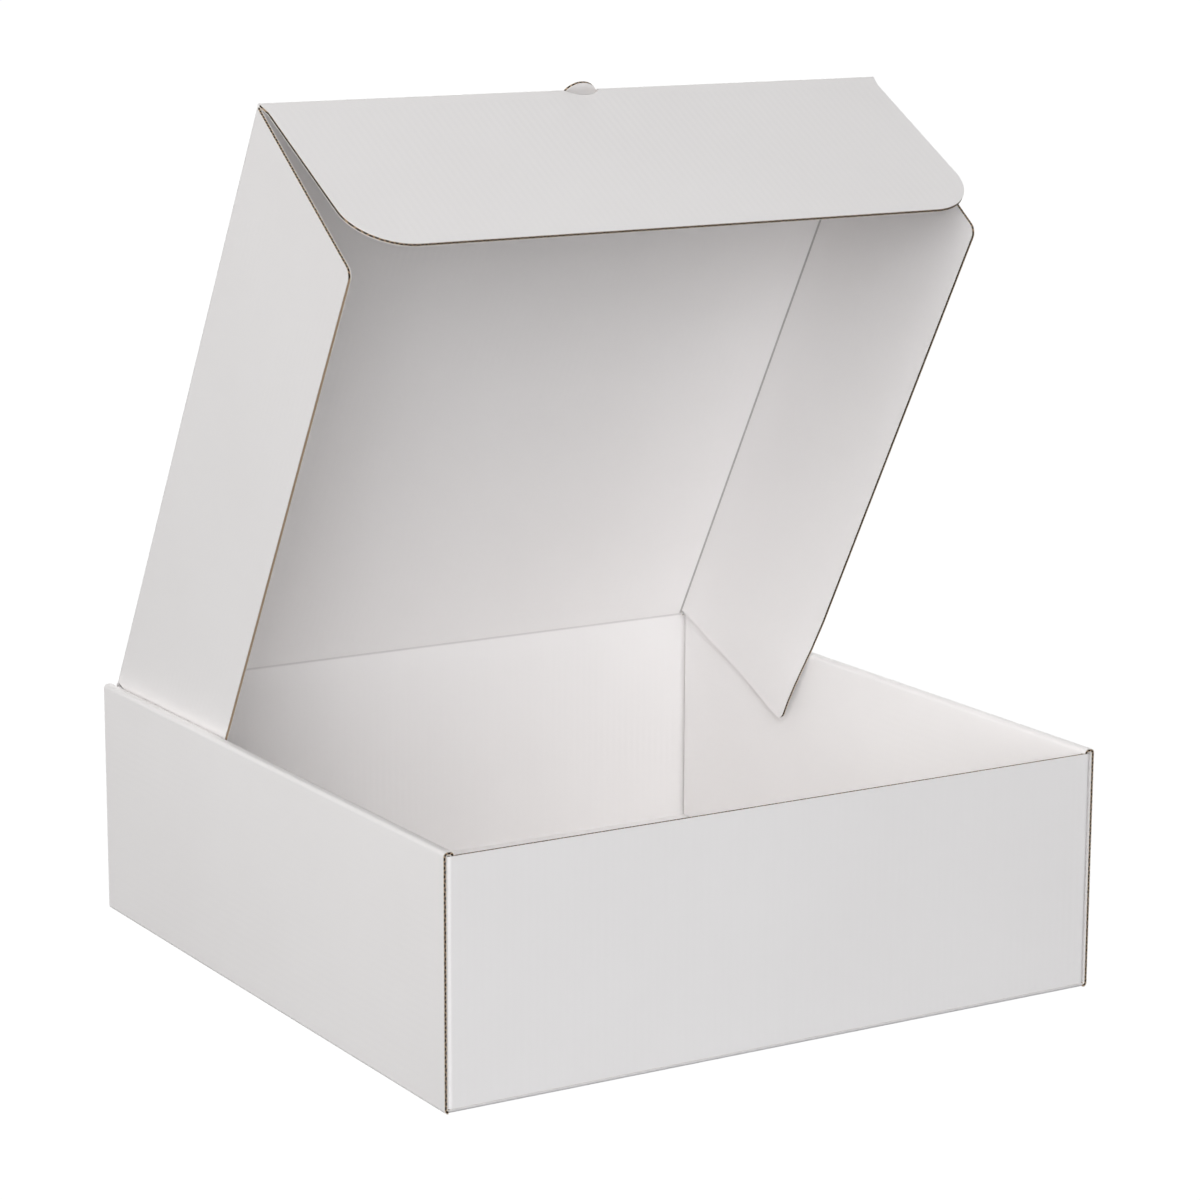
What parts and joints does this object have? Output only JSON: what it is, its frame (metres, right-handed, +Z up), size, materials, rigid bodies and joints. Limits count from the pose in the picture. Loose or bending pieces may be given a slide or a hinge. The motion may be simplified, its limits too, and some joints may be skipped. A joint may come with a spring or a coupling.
{
  "type": "roll-end tuck-front cardboard box",
  "caption": "Shallow white cardboard folding box with rolled side walls and an attached hinged lid whose side flaps and front tuck flap close into the tray.",
  "frame": {"origin": "middle of the box's footprint, on the underside of the base", "axes": "+X to the box's right seen from the front, +Y to the back where the lid is hinged, +Z up; the front wall faces -Y"},
  "size_m": [0.3098, 0.313, 0.3753],
  "materials": {
    "white_board": "matt white-lined corrugated board with brown cut edges"
  },
  "bodies": {
    "tray": {"tray": "white_board"},
    "lid": {"lid": "white_board"},
    "tuck_flap": {"tuck_flap": "white_board"}
  },
  "joints": [
    {"name": "lid_hinge", "type": "hinge", "parent": "tray", "child": "lid", "pos_m": [0, 0.15575, 0.1029], "axis": [-1, 0, 0], "range_deg": [-60.5, 119.5]},
    {"name": "tuck_fold", "type": "hinge", "parent": "lid", "child": "tuck_flap", "pos_m": [0, 0.00379, 0.37149], "axis": [1, 0, 0], "range_deg": [-27, 13.4]}
  ],
  "couplings": [
    {"joint": "tuck_fold", "follows": "lid_hinge", "ratio": -0.22}
  ]
}
